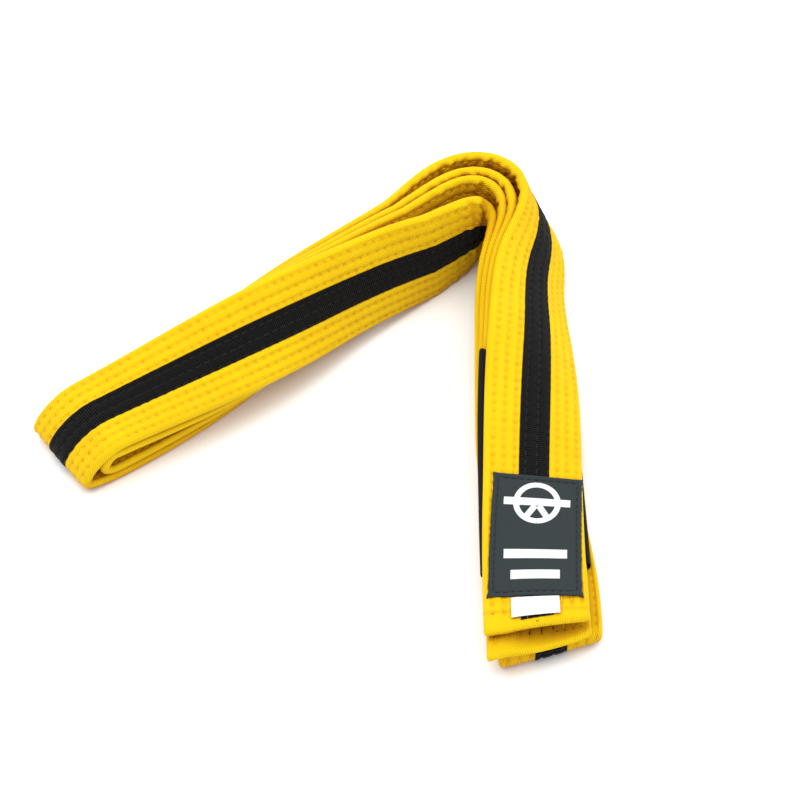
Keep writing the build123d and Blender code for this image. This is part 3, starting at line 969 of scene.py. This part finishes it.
for number, w in enumerate(SEAM_ROWS, 1):
    rows = [row_starts(w, 1, striped_face), row_starts(w, -1, plain_face)]
    finish_piece(stitches_mesh(f"quilting_row_{number}", rows), YELLOW_THREAD,
                 [f"cover_seam_{number}"])
for number, w in enumerate(TAPE_ROWS, 1):
    rows = [row_starts(w, 1, tape_height), row_starts(w, -1, plain_face, 1.5)]
    finish_piece(stitches_mesh(f"tape_row_{number}", rows), BLACK_THREAD,
                 [f"tape_seam_{number}"])


# ---- hem seams: a line of stitches across each end, on both faces, and the short brown tack ----
def hem_line(u, start, stop, length, side):
    """Stitches across the hem at the end u of the belt, between two places across it."""
    ends = [(abs(u - hem_seam(w)), w) for w in (start, stop)]
    return line_starts(ends, length, hemmed_face, side, 3.0)


rows = [
    hem_line(0.0, 17.5, 7.0, 1.9, 1),
    hem_line(0.0, -7.0, -17.5, 1.9, 1),
    hem_line(0.0, 17.5, -17.5, 1.9, -1),
]
finish_piece(stitches_mesh("label_end_stitches", rows, 0.16), YELLOW_THREAD,
             ["label_end_seam"])
rows = [hem_line(BELT_LENGTH, 17.5, -17.5, 1.3, side) for side in (1, -1)]
finish_piece(stitches_mesh("bar_end_stitches", rows, 0.22), BROWN_THREAD,
             ["bar_end_seam"])
tack_rows = [
    line_starts(((0.9, w), (3.4, w + 0.25)), 1.1, hemmed_face, 1, 1.25) for w in (-0.35, 0.35)
]
finish_piece(stitches_mesh("brown_tack", tack_rows, 0.2), BROWN_THREAD, ["hem_tack"])

# ---- woven label, with its border stitches and a plain emblem ----
finish_piece(label_mesh(), CHARCOAL, ["woven_label"])


def label_side(start, stop):
    """Border stitches along one side of the label, between two (x, y) places on it."""
    start, stop = np.array(start, float), np.array(stop, float)
    whole = np.linalg.norm(stop - start)
    places = start + (stop - start) * (np.arange(0.4, whole - 2.6, 3.0) / whole)[:, None]
    ahead = places + (stop - start) * (2.3 / whole)
    u0, w0 = label_place(places[:, 0], places[:, 1])
    u1, w1 = label_place(ahead[:, 0], ahead[:, 1])
    length = float(np.mean(np.hypot(u1 - u0, w1 - w0)))
    face = label_face(places[:, 0], places[:, 1]).mean()
    return (u0, w0, (u1 - u0) / length, (w1 - w0) / length, length,
            lambda u, w: np.full_like(u, face + 0.12), 1)


border = LABEL_HALF_WIDTH - GROOVE_INSET
border_low, border_high = GROOVE_INSET, LABEL_BOTTOM - LABEL_TOP - GROOVE_INSET
corners = [(-border, border_low), (border, border_low), (border, border_high), (-border, border_high)]
sides = [label_side(corners[i], corners[(i + 1) % 4]) for i in range(4)]
finish_piece(stitches_mesh("label_border_stitches", sides, 0.2), BLACK_THREAD,
             ["label_seam"])

# A plain ring in two halves, with a band across it, two tails and two plain bars.
turn = np.linspace(0, 2 * math.pi, 73)
ring_centre, ring_radius = 42.6, 8.3
half_turns = {
    "emblem_ring_left": turn[18:55],
    "emblem_ring_right": np.concatenate([turn[54:], turn[1:19] + 2 * math.pi]),
}
for name, angles in half_turns.items():
    path = np.column_stack([ring_radius * np.cos(angles), ring_centre + ring_radius * np.sin(angles)])
    finish_piece(stripe_on_label(name, path, 1.15), WHITE_YARN, [])
emblem_lines = {
    "emblem_band": ((-13.2, ring_centre + 0.4), (13.2, ring_centre + 0.4), 1.7),
    "emblem_tail_left": ((-0.8, ring_centre - 1.4), (-4.2, ring_centre - 6.6), 1.25),
    "emblem_tail_right": ((0.8, ring_centre - 1.4), (4.2, ring_centre - 6.6), 1.25),
    "emblem_bar_upper": ((-12.2, 19.2), (12.2, 19.2), 2.1),
    "emblem_bar_lower": ((-9.4, 9.6), (9.4, 9.6), 2.1),
}
for name, (start, stop, half_width) in emblem_lines.items():
    path = np.column_stack([straight(a, b, 24) for a, b in zip(start, stop)])
    finish_piece(stripe_on_label(name, path, half_width), WHITE_YARN, [])

# ---- size tab, left blank and attached to no body; the line across its root, where it would flip, is found ----
tab = finish_piece(tab_mesh(), WHITE_RIBBON, ["size_tab"], None)
tab_root = [tuple(on_belt(place_on("D", s, 0.0), 0.0, HALF_THICKNESS) * MM) for s in TAB_BEND]
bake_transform(tab)

# ---- rank bar and the stitches at its two ends ----
finish_piece(sleeve_mesh(), BLACK_TWILL, ["rank_bar"])


def bar_face(u, w):
    return edge_profile(w) + SLEEVE_INNER + SLEEVE_WALL


for number, inset in ((1, 3.0), (2, -3.0)):
    ends = []
    for w, limits in ((17.0, BAR_LEFT), (-17.0, BAR_RIGHT)):
        s = limits[0] + inset if inset > 0 else limits[1] + inset
        ends.append((float(place_on("C", s, w)), w))
    rows = [line_starts(ends, 2.4, bar_face, side, 3.2) for side in (1, -1)]
    finish_piece(stitches_mesh(f"bar_stitches_{number}", rows, 0.16), BLACK_THREAD,
                 [f"bar_seam_{number}"])


# ---- studio, in metres ----
LIGHT_TARGET = (0.0, 0.0, 0.02)
FLOOR_REACH = 6.0
SURROUND_STRENGTH = 0.84


def add_area(name, location, size, power):
    """A round soft light that faces the middle of the bundle."""
    data = bpy.data.lights.new(name, "AREA")
    data.shape, data.size, data.energy = "DISK", size, power
    light = bpy.data.objects.new(name, data)
    light.location = location
    aim = np.array(LIGHT_TARGET) - np.array(location)
    flat = math.hypot(aim[0], aim[1])
    light.rotation_euler = (math.atan2(flat, -aim[2]), 0, math.atan2(aim[1], aim[0]) - math.pi / 2)
    bpy.context.scene.collection.objects.link(light)


def add_studio():
    """A pale floor, two soft lights and an even white surround."""
    mesh = bpy.data.meshes.new("floor")
    reach = FLOOR_REACH
    corners = [(-reach, -reach, 0), (reach, -reach, 0), (reach, reach, 0), (-reach, reach, 0)]
    mesh.from_pydata(corners, [], [(0, 1, 2, 3)])
    floor = bpy.data.objects.new("floor", mesh)
    bpy.context.scene.collection.objects.link(floor)
    material, _, shader = new_material("pale_floor", 0.9)
    shader.inputs["Base Color"].default_value = (0.97, 0.97, 0.97, 1)
    mesh.materials.append(material)
    add_area("key", (-0.40, 0.10, 1.6), 1.5, 18)
    add_area("fill", (0.80, 0.35, 1.1), 1.4, 7)
    world = bpy.data.worlds.new("studio")
    world.use_nodes = True
    world.node_tree.nodes["Background"].inputs["Color"].default_value = (1, 1, 1, 1)
    world.node_tree.nodes["Background"].inputs["Strength"].default_value = SURROUND_STRENGTH
    bpy.context.scene.world = world
    bpy.context.scene.view_settings.view_transform = "Standard"


add_studio()
